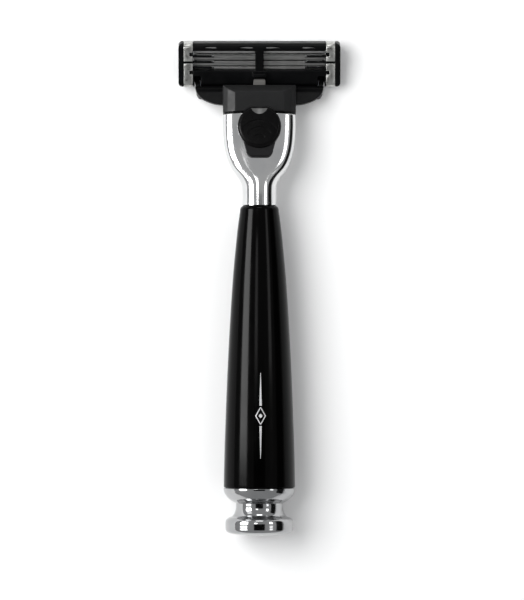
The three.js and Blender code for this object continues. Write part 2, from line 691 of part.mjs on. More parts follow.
// One curved wing: a half-moon in plan, with the guard's round shell as its inner wall, and a pinned arm.
function wing(side) {
  const shellSide = shellOutline(SHELL_INNER, SHELL_OUTER, SHELL_UPPER_ANGLE, SHELL_LOWER_ANGLE);
  const shell = extrudeAcross(shellSide, WING_INNER_X, WING_OUTER_X);
  const shelfSide = points([[2.2, -1.6], [6.2, -2.6], [6.2, -0.9], [2.4, 0.2]]);
  const shelf = extrudeAcross(shelfSide, WING_INNER_X, WING_OUTER_X);
  const body = common(join(shell, shelf), wingPlan(WING_FRONT_Y));
  const armPlate = extrudeAcross(armOutline(), WING_OUTER_X - ARM_THICKNESS, WING_OUTER_X);
  const arm = common(armPlate, wingPlan(BEYOND).translate(0, ARM_SET_IN, 0));
  const pin = crossPin(PIN_RADIUS, PIN_LENGTH, WING_OUTER_X + 0.25, pivotInDock.y, pivotInDock.z, 20);
  const half = join(body, arm, pin);
  return side > 0 ? half : mirrored(half);
}

// Arm outline: an eye about the pivot that widens out to the shell.
function armOutline() {
  const shape = new THREE.Shape();
  const angles = [150, 185, 235, 460].map((angle) => THREE.MathUtils.degToRad(angle));
  shape.absarc(pivotInDock.y, pivotInDock.z, SHELL_OUTER - ARM_PLAY, angles[0], angles[1]);
  shape.absarc(pivotInDock.y, pivotInDock.z, ARM_EYE_RADIUS, angles[2], angles[3]);
  return shape;
}

function mirrored(geometry) {
  const copy = geometry.clone();
  copy.scale(-1, 1, 1);
  const index = copy.index.array;
  for (let i = 0; i < index.length; i += 3) {
    const first = index[i];
    index[i] = index[i + 1];
    index[i + 1] = first;
  }
  return copy;
}

function buildInterconnect() {
  addMesh(dock, 'interconnect', join(socketBlock(), wing(1), wing(-1)), blackPlastic());
}

// ---- cartridge, in its own frame: x across, y = u, z = n ----

function sectionShape(inset) {
  return roundedRectangle(inset, inset, CARTRIDGE_HEIGHT - inset, CARTRIDGE_DEPTH - inset, CORNER_RADIUS);
}

function buildHousing() {
  const half = CARTRIDGE_WIDTH / 2;
  const plan = roundedRectangle(-half, 0, half, CARTRIDGE_HEIGHT, CORNER_RADIUS);
  const ends = extrudeUp(plan, 0, CARTRIDGE_DEPTH);
  const outer = common(extrudeAcross(sectionShape(0), -half, half), ends);
  const comb = COMB_HALF + GAP;
  const strip = STRIP_HALF + 0.5;
  const tools = [
    block([-WINDOW_HALF_WIDTH, BAY_START_U - 0.1, -1], [WINDOW_HALF_WIDTH, BAY_END_U - 0.6, BLADE_BAY_TOP]),
    block([-comb, 0.6, -1], [comb, 4, RECESS_TOP]),
    block([-strip, STRIP_START_U - RECESS_PLAY, -1], [strip, STRIP_END_U + RECESS_PLAY, RECESS_TOP]),
  ];
  for (const side of [-1, 1]) {
    tools.push(sidedBlock(
      side, RIB_HALF_WIDTH, WINDOW_HALF_WIDTH, [BAY_START_U, WINDOW_BOTTOM], [BAY_END_U, BEYOND],
    ));
    const armRoom = [WING_OUTER_X - ARM_THICKNESS - ARM_PLAY, WING_OUTER_X + ARM_PLAY];
    tools.push(sidedBlock(side, armRoom[0], armRoom[1], [-2, 0.15], [2.95, BEYOND]));
    tools.push(crossPin(PIN_RADIUS + 0.1, 3.2, side * (WING_OUTER_X + 0.45), PIVOT_U, PIVOT_N, 20));
    const inner = side * CLIP_INNER;
    const outerEdge = side * (CLIP_INNER + CLIP_WIDTH + 0.1);
    tools.push(clipChannel(Math.min(inner, outerEdge), Math.max(inner, outerEdge)));
    RAIL_SLOTS.forEach(([x0, x1]) => tools.push(sidedBlock(
      side, x0, x1,
      [RAIL_SLOT_U - RAIL_SLOT_HALF_HEIGHT, CARTRIDGE_DEPTH - RAIL_SLOT_DEPTH],
      [RAIL_SLOT_U + RAIL_SLOT_HALF_HEIGHT, BEYOND],
    )));
  }
  const lugSide = points([[3, 4], [3, LUG_TOP], [3.9, LUG_TOP - 0.1], [4.3, 4]]);
  const camLug = extrudeAcross(lugSide, -LUG_HALF_WIDTH, LUG_HALF_WIDTH);
  addMesh(cartridge, 'cartridge_housing', join(cut(outer, ...tools), camLug), blackPlastic());
}

// The ring of material that the clip's strip takes up, so that the clip lies flush.
function clipChannel(x0, x1) {
  const ring = extrudeAcross(roundedRectangle(-2, -2, CARTRIDGE_HEIGHT + 2, CARTRIDGE_DEPTH + 2, 0.5), x0, x1);
  return cut(ring, extrudeAcross(sectionShape(CLIP_THICKNESS + 0.06), x0 - 1, x1 + 1));
}

// A strip bent right round the housing, with its two legs nearly meeting on the back.
function buildClip(name, side) {
  const x0 = side > 0 ? CLIP_INNER + 0.05 : -CLIP_INNER - 0.05 - CLIP_WIDTH;
  const x1 = x0 + CLIP_WIDTH;
  const ring = cut(
    extrudeAcross(sectionShape(0), x0, x1),
    extrudeAcross(sectionShape(CLIP_THICKNESS), x0 - 1, x1 + 1),
  );
  const legGap = block([x0 - 1, LEG_GAP_START_U, WINDOW_BOTTOM], [x1 + 1, LEG_GAP_END_U, BEYOND]);
  const inner = side > 0 ? x0 : x1;
  const notches = NOTCH_STARTS_U.map((u) => block(
    [inner - NOTCH_DEPTH, u, BLADE_BAY_TOP],
    [inner + NOTCH_DEPTH, u + NOTCH_LENGTH, BEYOND],
  ));
  addMesh(cartridge, name, cut(ring, legGap, ...notches), aluminium());
}

// Bent carrier: a sloped platform under the blade, a leg square to the face and a broad flange along its back.
function supportOutline(u) {
  const run = CARRIER_RUN;
  const rise = run * Math.tan(BLADE_SLOPE);
  const t = CARRIER_THICKNESS;
  const top = CARRIER_TOP;
  const front = Math.max(u - FLANGE_REACH, BAY_START_U + 0.1);
  return points([
    [u + 0.25, 0.35], [u + run, 0.25 + rise], [u + run, top], [front, top], [front, top - t],
    [u + run - t, top - t], [u + run - t, 0.45 + rise], [u + 0.2, 0.55],
  ]);
}

function buildBlades() {
  const bay = WINDOW_HALF_WIDTH - 0.2;
  for (let i = 0; i < BLADE_COUNT; i += 1) {
    const u = FIRST_EDGE_U + i * BLADE_PITCH;
    const support = extrudeAcross(supportOutline(u), -bay, bay);
    addMesh(cartridge, `blade_support_${i + 1}`, support, steel());
    const run = 1.2;
    const rise = run * Math.tan(BLADE_SLOPE);
    const blade = extrudeAcross(points([
      [u, -0.06], [u + 0.3, 0.0], [u + run, rise - 0.18], [u + run, rise - 0.06], [u + 0.25, 0.14],
    ]), -bay, bay);
    addMesh(cartridge, `blade_${i + 1}`, blade, steel());
  }
}

// Soft comb in front of the blades and the strip behind them, each in its own recess of the face.
function buildFace() {
  const base = block([-COMB_HALF, 0.8, 0.25], [COMB_HALF, 3.8, 0.6]);
  const fins = [0, 1, 2, 3, 4].map((i) => {
    const u = 0.95 + i * 0.6;
    const finSide = points([[u, 0.3], [u + 0.1, 0.02], [u + 0.25, 0.02], [u + 0.35, 0.3]]);
    return extrudeAcross(finSide, 0.2 - COMB_HALF, COMB_HALF - 0.2);
  });
  addMesh(cartridge, 'guard_fins', join(base, ...fins), rubber());
  const stripSide = points([
    [STRIP_START_U, 0.1], [STRIP_END_U, 0.02], [STRIP_END_U, 0.6], [STRIP_START_U, 0.6],
  ]);
  addMesh(cartridge, 'lubricating_strip', extrudeAcross(stripSide, -STRIP_HALF, STRIP_HALF), gel());
}

buildHandle();
buildNeck();
buildDock();
buildInterconnect();
buildHousing();
buildClip('clip_left', -1);
buildClip('clip_right', 1);
buildBlades();
buildFace();

export default razor;
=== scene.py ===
"""Cartridge razor lying face down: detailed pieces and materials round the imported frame."""

import json
import math

import bmesh
import bpy
from mathutils import Matrix, Vector


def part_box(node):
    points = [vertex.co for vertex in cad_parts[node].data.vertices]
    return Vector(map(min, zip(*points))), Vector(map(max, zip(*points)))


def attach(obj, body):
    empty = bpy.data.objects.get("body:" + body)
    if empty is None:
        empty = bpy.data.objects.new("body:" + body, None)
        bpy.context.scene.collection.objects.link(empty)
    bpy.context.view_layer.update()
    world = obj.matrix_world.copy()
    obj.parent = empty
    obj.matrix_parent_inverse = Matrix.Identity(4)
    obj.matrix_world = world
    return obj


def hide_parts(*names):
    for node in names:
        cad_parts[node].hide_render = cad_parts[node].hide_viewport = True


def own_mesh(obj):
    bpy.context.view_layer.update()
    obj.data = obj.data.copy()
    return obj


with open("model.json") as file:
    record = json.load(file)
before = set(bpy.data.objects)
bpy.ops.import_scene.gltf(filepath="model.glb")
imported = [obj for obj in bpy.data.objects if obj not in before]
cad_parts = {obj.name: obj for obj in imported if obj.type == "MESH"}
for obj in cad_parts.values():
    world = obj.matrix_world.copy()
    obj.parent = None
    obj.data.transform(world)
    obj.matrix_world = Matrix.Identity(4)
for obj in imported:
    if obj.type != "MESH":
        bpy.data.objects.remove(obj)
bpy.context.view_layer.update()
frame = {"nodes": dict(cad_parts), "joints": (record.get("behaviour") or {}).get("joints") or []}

MM = 0.001
TURNED_STEPS = 160


# ---- places, from the frame ----

def joint(name):
    return next(j for j in frame["joints"] if j["name"] == name)


def corners(node):
    low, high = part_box(node)
    return low / MM, high / MM


BARREL_LOW, BARREL_HIGH = corners("handle_barrel")
CAP_LOW, CAP_HIGH = corners("end_cap")
AXIS_Z = (CAP_LOW.z + CAP_HIGH.z) / 2
CAP_RADIUS = (CAP_HIGH.x - CAP_LOW.x) / 2
BARREL_END_RADIUS = (BARREL_HIGH.x - BARREL_LOW.x) / 2
BARREL_END = BARREL_LOW.y
BARREL_TOP = BARREL_HIGH.y

SLIDE_AXIS = Vector(joint("button_slide")["axis"])
DOCK_TILT = math.atan2(-SLIDE_AXIS.z, SLIDE_AXIS.y)
BEND_START_Y = 24.0
BEND_END_Y = 38.0
BEND_RADIUS = (BEND_END_Y - BEND_START_Y) / math.sin(DOCK_TILT)
BEND_DROP = BEND_RADIUS * (1 - math.cos(DOCK_TILT))
DOCK_Y = 44.7
DOCK_Z = AXIS_Z - BEND_DROP - (DOCK_Y - BEND_END_Y) * math.tan(DOCK_TILT)
DOCK = Matrix.Translation((0, DOCK_Y, DOCK_Z)) @ Matrix.Rotation(-DOCK_TILT, 4, "X")

BLADE_AXIS = Vector(joint("blade_1_spring")["axis"])
HEAD_TILT = math.atan2(-BLADE_AXIS.y, BLADE_AXIS.z)
PIVOT = Vector(joint("cartridge_pivot")["pos_m"]) / MM
PIVOT_U = 1.6   # u runs from the guard edge to the cap edge, n from the blade face to the back
PIVOT_N = 1.5
HEAD_TURN = Matrix.Rotation(HEAD_TILT, 4, "X")
HEAD = Matrix.Translation(PIVOT - HEAD_TURN @ Vector((0, PIVOT_U, PIVOT_N))) @ HEAD_TURN
HEAD_HEIGHT = 11.6
HEAD_DEPTH = 4.6
HEAD_CORNER = 1.2
BAY_START_U = 4.5
RAIL_SLOT_U = 10.55
BLADE_PITCH = 1.5

NECK_RADIUS = 4.5
DOCK_HALF_WIDTH = 9.43
DOCK_HALF_THICKNESS = 3.9


# ---- mesh helpers: everything is built in millimetres and scaled to metres once ----

def new_object(name, verts, faces, place=Matrix.Identity(4), smooth=True):
    mesh = bpy.data.meshes.new(name)
    mesh.from_pydata([tuple(v) for v in verts], [], faces)
    mesh.transform(Matrix.Scale(MM, 4) @ place)
    mesh.validate()
    obj = bpy.data.objects.new(name, mesh)
    bpy.context.scene.collection.objects.link(obj)
    tidy_normals(obj)
    if smooth:
        shade(obj)
    return obj


def tidy_normals(obj):
    bm = bmesh.new()
    bm.from_mesh(obj.data)
    bmesh.ops.remove_doubles(bm, verts=bm.verts, dist=1e-7)
    bmesh.ops.recalc_face_normals(bm, faces=bm.faces)
    bm.to_mesh(obj.data)
    bm.free()


def shade(obj, angle=35):
    obj.data.shade_smooth()
    obj.data.set_sharp_from_angle(angle=math.radians(angle))


def apply_modifiers(obj):
    graph = bpy.context.evaluated_depsgraph_get()
    mesh = bpy.data.meshes.new_from_object(obj.evaluated_get(graph), depsgraph=graph)
    obj.modifiers.clear()
    old = obj.data
    obj.data = mesh
    bpy.data.meshes.remove(old)


def bevel(obj, width, segments=3, angle=35):
    mod = obj.modifiers.new("edges", "BEVEL")
    mod.width = width * MM
    mod.segments = segments
    mod.limit_method = "ANGLE"
    mod.angle_limit = math.radians(angle)
    mod.harden_normals = True
    apply_modifiers(obj)


def carve(obj, *tools, operation="DIFFERENCE"):
    for tool in tools:
        mod = obj.modifiers.new("carve", "BOOLEAN")
        mod.operation = operation
        mod.solver = "EXACT"
        mod.object = tool
        bpy.context.view_layer.update()
        apply_modifiers(obj)
        bpy.data.objects.remove(tool)


def merge(name, *objs):
    """One object that holds the meshes of all the given ones."""
    bm = bmesh.new()
    for o in objs:
        bm.from_mesh(o.data)
    mesh = bpy.data.meshes.new(name)
    bm.to_mesh(mesh)
    bm.free()
    for o in objs:
        bpy.data.objects.remove(o)
    obj = bpy.data.objects.new(name, mesh)
    bpy.context.scene.collection.objects.link(obj)
    return obj


def copy_of(node, name):
    obj = bpy.data.objects.new(name, frame["nodes"][node].data.copy())
    bpy.context.scene.collection.objects.link(obj)
    tidy_normals(obj)
    return obj


def soften(obj, voxel, rounds):
    """Joins overlapping volumes into one moulding with small round edges."""
    mod = obj.modifiers.new("skin", "REMESH")
    mod.mode = "VOXEL"
    mod.voxel_size = voxel * MM
    mod.use_smooth_shade = True
    relax = obj.modifiers.new("relax", "SMOOTH")
    relax.iterations = rounds
    relax.factor = 0.5
    apply_modifiers(obj)
    obj.data.shade_smooth()
    return obj


def ring_loft(rings):
    """Vertices and faces of a closed skin over rings of equal length."""
    count = len(rings[0])
    verts = [p for ring in rings for p in ring]
    faces = []
    for r in range(len(rings) - 1):
        for i in range(count):
            j = (i + 1) % count
            faces.append((r * count + i, r * count + j, (r + 1) * count + j, (r + 1) * count + i))
    faces.append(tuple(reversed(range(count))))
    faces.append(tuple(range((len(rings) - 1) * count, len(rings) * count)))
    return verts, faces


def turned(name, profile):
    """A turned piece about the handle's axis. The profile lists (radius, y) and may close on itself."""
    steps = TURNED_STEPS
    verts = []
    faces = []
    closed = profile[0] == profile[-1]
    rows = profile[:-1] if closed else profile
    for r, y in rows:
        for i in range(steps):
            a = 2 * math.pi * i / steps
            verts.append((r * math.sin(a), y, r * math.cos(a)))
    last = len(rows) if closed else len(rows) - 1
    for k in range(last):
        m = (k + 1) % len(rows)
        for i in range(steps):
            j = (i + 1) % steps
            faces.append((k * steps + i, k * steps + j, m * steps + j, m * steps + i))
    return new_object(name, verts, faces, Matrix.Translation((0, 0, AXIS_Z)))


def arc(centre_x, centre_y, radius, start, end, steps):
    """Points of a circular arc between two angles in degrees."""
    angles = [math.radians(start + (end - start) * i / steps) for i in range(steps + 1)]
    return [(centre_x + radius * math.cos(a), centre_y + radius * math.sin(a)) for a in angles]


def catmull_rom(a, b, c, d, f):
    slope = c - a
    bow = 2 * a - 5 * b + 4 * c - d
    twist = 3 * b - a - 3 * c + d
    return 0.5 * (2 * b + slope * f + bow * f * f + twist * f ** 3)


def spline(knots, count):
    """Points along a Catmull-Rom curve through the knots."""
    out = []
    spans = len(knots) - 1
    for k in range(count + 1):
        t = k / count * spans
        i = min(int(t), spans - 1)
        f = t - i
        p = [knots[max(0, min(spans, i + d))] for d in (-1, 0, 1, 2)]
        out.append(tuple(catmull_rom(a, b, c, d, f) for a, b, c, d in zip(*p)))
    return out


def prism(name, outline, low, high, axis, place=Matrix.Identity(4)):
    """Extrudes an outline along X, Y or Z. The outline is in the other two axes, in order."""
    def point(p, h):
        return {"X": (h, p[0], p[1]), "Y": (p[0], h, p[1]), "Z": (p[0], p[1], h)}[axis]
    rings = [[point(p, low) for p in outline], [point(p, high) for p in outline]]
    return new_object(name, *ring_loft(rings), place, smooth=False)


def brick(name, low, high, place=Matrix.Identity(4)):
    """A box between two corners."""
    outline = [(low[0], low[1]), (high[0], low[1]), (high[0], high[1]), (low[0], high[1])]
    return prism(name, outline, low[2], high[2], "Z", place)


def smoothstep(x, a, b):
    """0 up to a, 1 from b on, with a smooth rise between them."""
    t = min(1.0, max(0.0, (x - a) / (b - a)))
    return t * t * (3 - 2 * t)


# ---- materials ----

# The Mix node has a set of sockets for each data type, and these are the colour ones.
MIX_FIRST_COLOUR = 6
MIX_SECOND_COLOUR = 7
MIX_COLOUR_RESULT = 2


class Shader:
    """A small builder for one node material. Its noises have scales per metre."""

    def __init__(self, name):
        self.mat = bpy.data.materials.new(name)
        self.mat.use_nodes = True
        self.nodes = self.mat.node_tree.nodes
        self.links = self.mat.node_tree.links
        self.bsdf = self.nodes["Principled BSDF"]
        self.coords = self.nodes.new("ShaderNodeTexCoord").outputs["Object"]

    def node(self, kind, **inputs):
        made = self.nodes.new("ShaderNode" + kind)
        for key, value in inputs.items():
            socket = made.inputs[key.replace("_", " ")]
            if isinstance(value, bpy.types.NodeSocket):
                self.links.new(value, socket)
            else:
                socket.default_value = value
        return made

    def stretched(self, scale):
        return self.node("Mapping", Vector=self.coords, Scale=scale).outputs["Vector"]

    def noise(self, scale, detail=4.0, vector=None, roughness=0.55):
        vector = vector or self.coords
        made = self.node("TexNoise", Vector=vector, Scale=scale, Detail=detail, Roughness=roughness)
        return made.outputs["Fac"]

    def ramp(self, value, low, high, at=(0.3, 0.7)):
        """Maps the stretch between the two values of at onto low to high."""
        made = self.node("MapRange", Value=value, From_Min=at[0], From_Max=at[1], To_Min=low, To_Max=high)
        return made.outputs["Result"]

    def tint(self, value, first, second):
        made = self.nodes.new("ShaderNodeMix")
        made.data_type = "RGBA"
        self.links.new(value, made.inputs["Factor"])
        made.inputs[MIX_FIRST_COLOUR].default_value = (*first, 1)
        made.inputs[MIX_SECOND_COLOUR].default_value = (*second, 1)
        return made.outputs[MIX_COLOUR_RESULT]

    def add(self, a, b, operation="ADD"):
        """Adds two values, or joins them by another operation of the Math node."""
        made = self.nodes.new("ShaderNodeMath")
        made.operation = operation
        for socket, value in zip(made.inputs, (a, b)):
            if isinstance(value, bpy.types.NodeSocket):
                self.links.new(value, socket)
            else:
                socket.default_value = value
        return made.outputs[0]

    def bump(self, height, strength, distance):
        made = self.node("Bump", Height=height, Strength=strength, Distance=distance)
        self.links.new(made.outputs["Normal"], self.bsdf.inputs["Normal"])

    def edge_wear(self):
        """1 on worn convex edges, from the mesh's own pointiness."""
        point = self.node("NewGeometry").outputs["Pointiness"]
        return self.ramp(point, 0.0, 1.0, (0.52, 0.6))

    def set(self, **inputs):
        for key, value in inputs.items():
            socket = self.bsdf.inputs[key.replace("_", " ")]
            if isinstance(value, bpy.types.NodeSocket):
                self.links.new(value, socket)
            else:
                socket.default_value = value
        return self.mat


def moulded_plastic(name, dark, light, rough, gloss=0.5):
    s = Shader(name)
    broad = s.noise(90, 3)
    fine = s.noise(5200, 3)
    worn = s.edge_wear()
    colour = s.tint(s.ramp(broad, 0, 1), dark, light)
    s.bump(s.add(fine, s.add(s.noise(900, 2), 0.5, "MULTIPLY")), 0.35, 0.00001)
    rough_map = s.add(s.ramp(s.noise(700, 4), rough - 0.05, rough + 0.07), s.add(worn, -0.08, "MULTIPLY"))
    return s.set(Base_Color=colour, Roughness=rough_map, IOR=1.5, Specular_IOR_Level=gloss)


def yoke_moulding():
    """The socket block is painted lighter, a painted sheen on its flat top, and shines a little. The wings
    beside it are duller and darker.
    """
    s = Shader("moulded_yoke")
    across = s.node("SeparateXYZ", Vector=s.coords).outputs["X"]
    block = s.ramp(s.add(across, 0.0, "ABSOLUTE"), 1, 0, (0.0093, 0.0097))
    s.bump(s.add(s.noise(5200, 3), s.add(s.noise(900, 2), 0.5, "MULTIPLY")), 0.35, 0.00001)
    # The block's colour is painted lighter than the wings': painted sheen.
    painted_sheen = s.add(block, s.ramp(s.noise(90, 3), 0.7, 1.0), "MULTIPLY")
    colour = s.tint(painted_sheen, (0.0012, 0.0013, 0.0015), (0.0042, 0.0044, 0.0048))
    return s.set(Base_Color=colour, Roughness=s.ramp(s.noise(700, 4), 0.38, 0.5), IOR=1.5,
                 Specular_IOR_Level=s.ramp(block, 0.12, 0.27, (0, 1)))


def polished_resin():
    s = Shader("polished_black_resin")
    cloud = s.noise(60, 5)
    colour = s.tint(s.ramp(cloud, 0, 1), (0.0003, 0.0003, 0.00035), (0.0009, 0.0008, 0.0008))
    hairlines = s.noise(1, 5, s.stretched((2600, 60, 2600)), 0.7)
    s.bump(hairlines, 0.06, 0.000006)
    rough = s.ramp(s.noise(220, 5), 0.10, 0.16)
    return s.set(Base_Color=colour, Roughness=rough, IOR=1.5, Specular_IOR_Level=0.06)


def chrome_plate(name, dark, light):
    s = Shader(name)
    wander = s.noise(45, 3)
    polish = s.noise(1, 4, s.stretched((900, 90, 900)), 0.6)
    s.bump(s.add(s.add(wander, 0.6, "MULTIPLY"), s.add(polish, 0.08, "MULTIPLY")), 0.12, 0.00002)
    colour = s.tint(s.ramp(s.noise(160, 4), 0, 1), dark, light)
    rough = s.ramp(s.noise(300, 5), 0.08, 0.12)
    return s.set(Base_Color=colour, Metallic=1.0, Roughness=rough)


def rolled_strip():
    s = Shader("rolled_aluminium")
    lines = s.noise(1, 4, s.stretched((6000, 500, 500)), 0.6)
    colour = s.tint(s.ramp(lines, 0, 1), (0.40, 0.40, 0.385), (0.56, 0.56, 0.54))
    s.bump(lines, 0.2, 0.00001)
    return s.set(Base_Color=colour, Metallic=1.0, Roughness=s.ramp(s.noise(900, 4), 0.24, 0.38))


def ground_steel(name, low, high, rough):
    s = Shader(name)
    lines = s.noise(1, 5, s.stretched((300, 5000, 5000)), 0.65)
    stain = s.noise(400, 3)
    mottle = s.add(s.add(lines, 0.6, "MULTIPLY"), s.add(stain, 0.4, "MULTIPLY"))
    colour = s.tint(s.ramp(mottle, 0, 1), low, high)
    s.bump(lines, 0.25, 0.000008)
    return s.set(Base_Color=colour, Metallic=1.0, Roughness=s.ramp(lines, rough - 0.07, rough + 0.1))


def turned_brass():
    s = Shader("turned_brass")
    rings = s.noise(1, 3, s.stretched((200, 4000, 200)))
    colour = s.tint(s.ramp(rings, 0, 1), (0.52, 0.36, 0.13), (0.72, 0.53, 0.22))
    s.bump(rings, 0.3, 0.00001)
    return s.set(Base_Color=colour, Metallic=1.0, Roughness=s.ramp(s.noise(300), 0.22, 0.4))


def soft_rubber():
    s = Shader("soft_rubber")
    colour = s.tint(s.ramp(s.noise(500, 4), 0, 1), (0.012, 0.02, 0.035), (0.022, 0.036, 0.06))
    s.bump(s.noise(4000, 4), 0.5, 0.00001)
    return s.set(Base_Color=colour, Roughness=s.ramp(s.noise(800), 0.6, 0.8))


def waxy_strip():
    s = Shader("waxy_strip")
    speck = s.noise(3000, 5)
    colour = s.tint(s.ramp(speck, 0, 1), (0.42, 0.52, 0.50), (0.66, 0.73, 0.70))
    s.bump(s.noise(1500, 5), 0.5, 0.00003)
    return s.set(Base_Color=colour, Roughness=s.ramp(speck, 0.45, 0.65), Subsurface_Weight=0.15)


def silver_leaf():
    s = Shader("silver_leaf")
    grain = s.noise(2500, 4)
    colour = s.tint(s.ramp(grain, 0, 1), (0.62, 0.62, 0.63), (0.84, 0.84, 0.85))
    s.bump(grain, 0.2, 0.000005)
    return s.set(Base_Color=colour, Metallic=0.6, Roughness=s.ramp(grain, 0.3, 0.45))


MATERIALS = {
    "black_plastic": moulded_plastic(
        "moulded_black", (0.0009, 0.001, 0.0012), (0.002, 0.0021, 0.0024), 0.36, 0.09),
    "yoke_plastic": yoke_moulding(),
    "button_plastic": moulded_plastic(
        "button_black", (0.0012, 0.0012, 0.0013), (0.0022, 0.0021, 0.0022), 0.3, 0.08),
    # The tail is painted lighter than the pad, though both are one moulding: painted sheen.
    "tail_painted_sheen": moulded_plastic(
        "tail_black_painted_sheen", (0.004, 0.004, 0.0045), (0.007, 0.007, 0.0075), 0.34, 0.2),
    # The scoop's lighter plastic is a painted highlight, for the light its sloped faces mirror.
    "painted_scoop_highlight": moulded_plastic("scoop_painted_highlight", (0.05, 0.05, 0.05), (0.075, 0.075, 0.073), 0.3),
    # The tabs' grey is painted glints, and the lip's grey is a painted highlight line.
    "painted_tab_glints": moulded_plastic("tab_grey_painted_glints", (0.10, 0.10, 0.10), (0.15, 0.15, 0.15), 0.35),
    "painted_lip_highlight": moulded_plastic("lip_grey_painted_highlight", (0.19, 0.19, 0.19), (0.26, 0.26, 0.26), 0.35),
    "grey_plastic": moulded_plastic("plunger_grey", (0.045, 0.043, 0.04), (0.075, 0.072, 0.068), 0.38),
    "black_resin": polished_resin(),
    "chrome_plate": chrome_plate("chrome_plate", (0.66, 0.665, 0.67), (0.74, 0.74, 0.735)),
    "clip_aluminium": rolled_strip(),
    "blade_steel": ground_steel("blade_steel", (0.30, 0.30, 0.30), (0.44, 0.44, 0.44), 0.3),
    "carrier_steel": ground_steel("carrier_steel", (0.23, 0.23, 0.227), (0.36, 0.36, 0.353), 0.36),
    # The end cap's plating is a darker copy of the neck's plating: painted shade.
    "cap_chrome_painted_shade": chrome_plate("cap_chrome_painted_shade", (0.37, 0.375, 0.38), (0.45, 0.45, 0.455)),
    "spring_steel": ground_steel("spring_steel", (0.42, 0.42, 0.42), (0.58, 0.58, 0.58), 0.25),
    "brass": turned_brass(),
    "soft_rubber": soft_rubber(),
    "strip_gel": waxy_strip(),
    "silver_leaf": silver_leaf(),
}


def finish(obj, slot, body, *nodes, material=None):
    obj.data.materials.clear()
    obj.data.materials.append(material or MATERIALS[slot])
    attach(obj, body)
    if nodes:
        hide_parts(*nodes)


# ---- handle ----

BARREL_BORE = 3.6
BARREL_TOP_RADIUS = 5.0
BARREL_TOP_ROUND = 1.2
BARREL_END_ROUND = 0.35
BARREL_KNOTS = [(BARREL_TOP_RADIUS, BARREL_TOP - BARREL_TOP_ROUND), (5.95, 12.3), (7.1, -0.65), (8.2, -20.0),
                (8.95, -39.4), (BARREL_END_RADIUS, BARREL_END + BARREL_END_ROUND)]
BARREL_SAMPLES = spline(BARREL_KNOTS, 240)


def build_barrel():
    rim = BARREL_END_RADIUS - BARREL_END_ROUND
    profile = [(BARREL_BORE, BARREL_END), (rim, BARREL_END)]
    profile += arc(rim, BARREL_END + BARREL_END_ROUND, BARREL_END_ROUND, -80, -5, 5)
    profile += list(reversed(spline(BARREL_KNOTS, 60)))
    shoulder = BARREL_TOP_RADIUS - BARREL_TOP_ROUND
    profile += arc(shoulder, BARREL_TOP - BARREL_TOP_ROUND, BARREL_TOP_ROUND, 8, 90, 12)
    profile += [(BARREL_BORE, BARREL_TOP), (BARREL_BORE, BARREL_END)]
    finish(turned("barrel", profile), "black_resin", "handle", "handle_barrel")


def barrel_radius(y):
    for (r0, y0), (r1, y1) in zip(BARREL_SAMPLES, BARREL_SAMPLES[1:]):
        if y1 <= y <= y0:
            return r0 + (r1 - r0) * (y0 - y) / (y0 - y1)
    return BARREL_END_RADIUS


ORNAMENT_X = 0.3
ORNAMENT_Y = -33.0
ORNAMENT_HALF_LENGTH = 11.0
ORNAMENT_THICKNESS = 0.02
LOZENGE_HALF_WIDTH = 1.25
LOZENGE_HALF_LENGTH = 2.2
LINE_START = 2.6


def build_ornament():
    """A plain inlaid device on the barrel: a slender lozenge between two tapering lines."""
    verts = []
    faces = []

    def ribbon(centre, width, count):
        start = len(verts)
        for k in range(count + 1):
            x, y = centre(k / count)
            r = barrel_radius(y) + ORNAMENT_THICKNESS
            w = width(k / count) / 2
            for side in (-1, 1):
                a = (x + side * w) / r
                verts.append((r * math.sin(a), y, r * math.cos(a)))
        for k in range(count):
            i = start + 2 * k
            faces.append((i, i + 1, i + 3, i + 2))

    for end in (-1, 1):
        def line(t):
            return ORNAMENT_X, ORNAMENT_Y + end * (LINE_START + t * (ORNAMENT_HALF_LENGTH - LINE_START))
        ribbon(line, lambda t: 0.5 * (1 - t) + 0.12, 24)
        for side in (-1, 1):
            def lozenge_edge(t):
                return (ORNAMENT_X + side * LOZENGE_HALF_WIDTH * (1 - t),
                        ORNAMENT_Y + end * LOZENGE_HALF_LENGTH * t)
            ribbon(lozenge_edge, lambda t: 0.28, 16)
    ribbon(lambda t: (ORNAMENT_X, ORNAMENT_Y - 0.6 + 1.2 * t),
           lambda t: 0.9 * math.sin(math.pi * min(0.98, max(0.02, t))), 12)
    obj = new_object("inlaid_device", verts, faces, Matrix.Translation((0, 0, AXIS_Z)))
    finish(obj, "spring_steel", "handle", material=MATERIALS["silver_leaf"])


CAP_STUD_RADIUS = 2.0
CAP_BORE_END = 6   # above the foot
NEAR_AXIS = 0.001


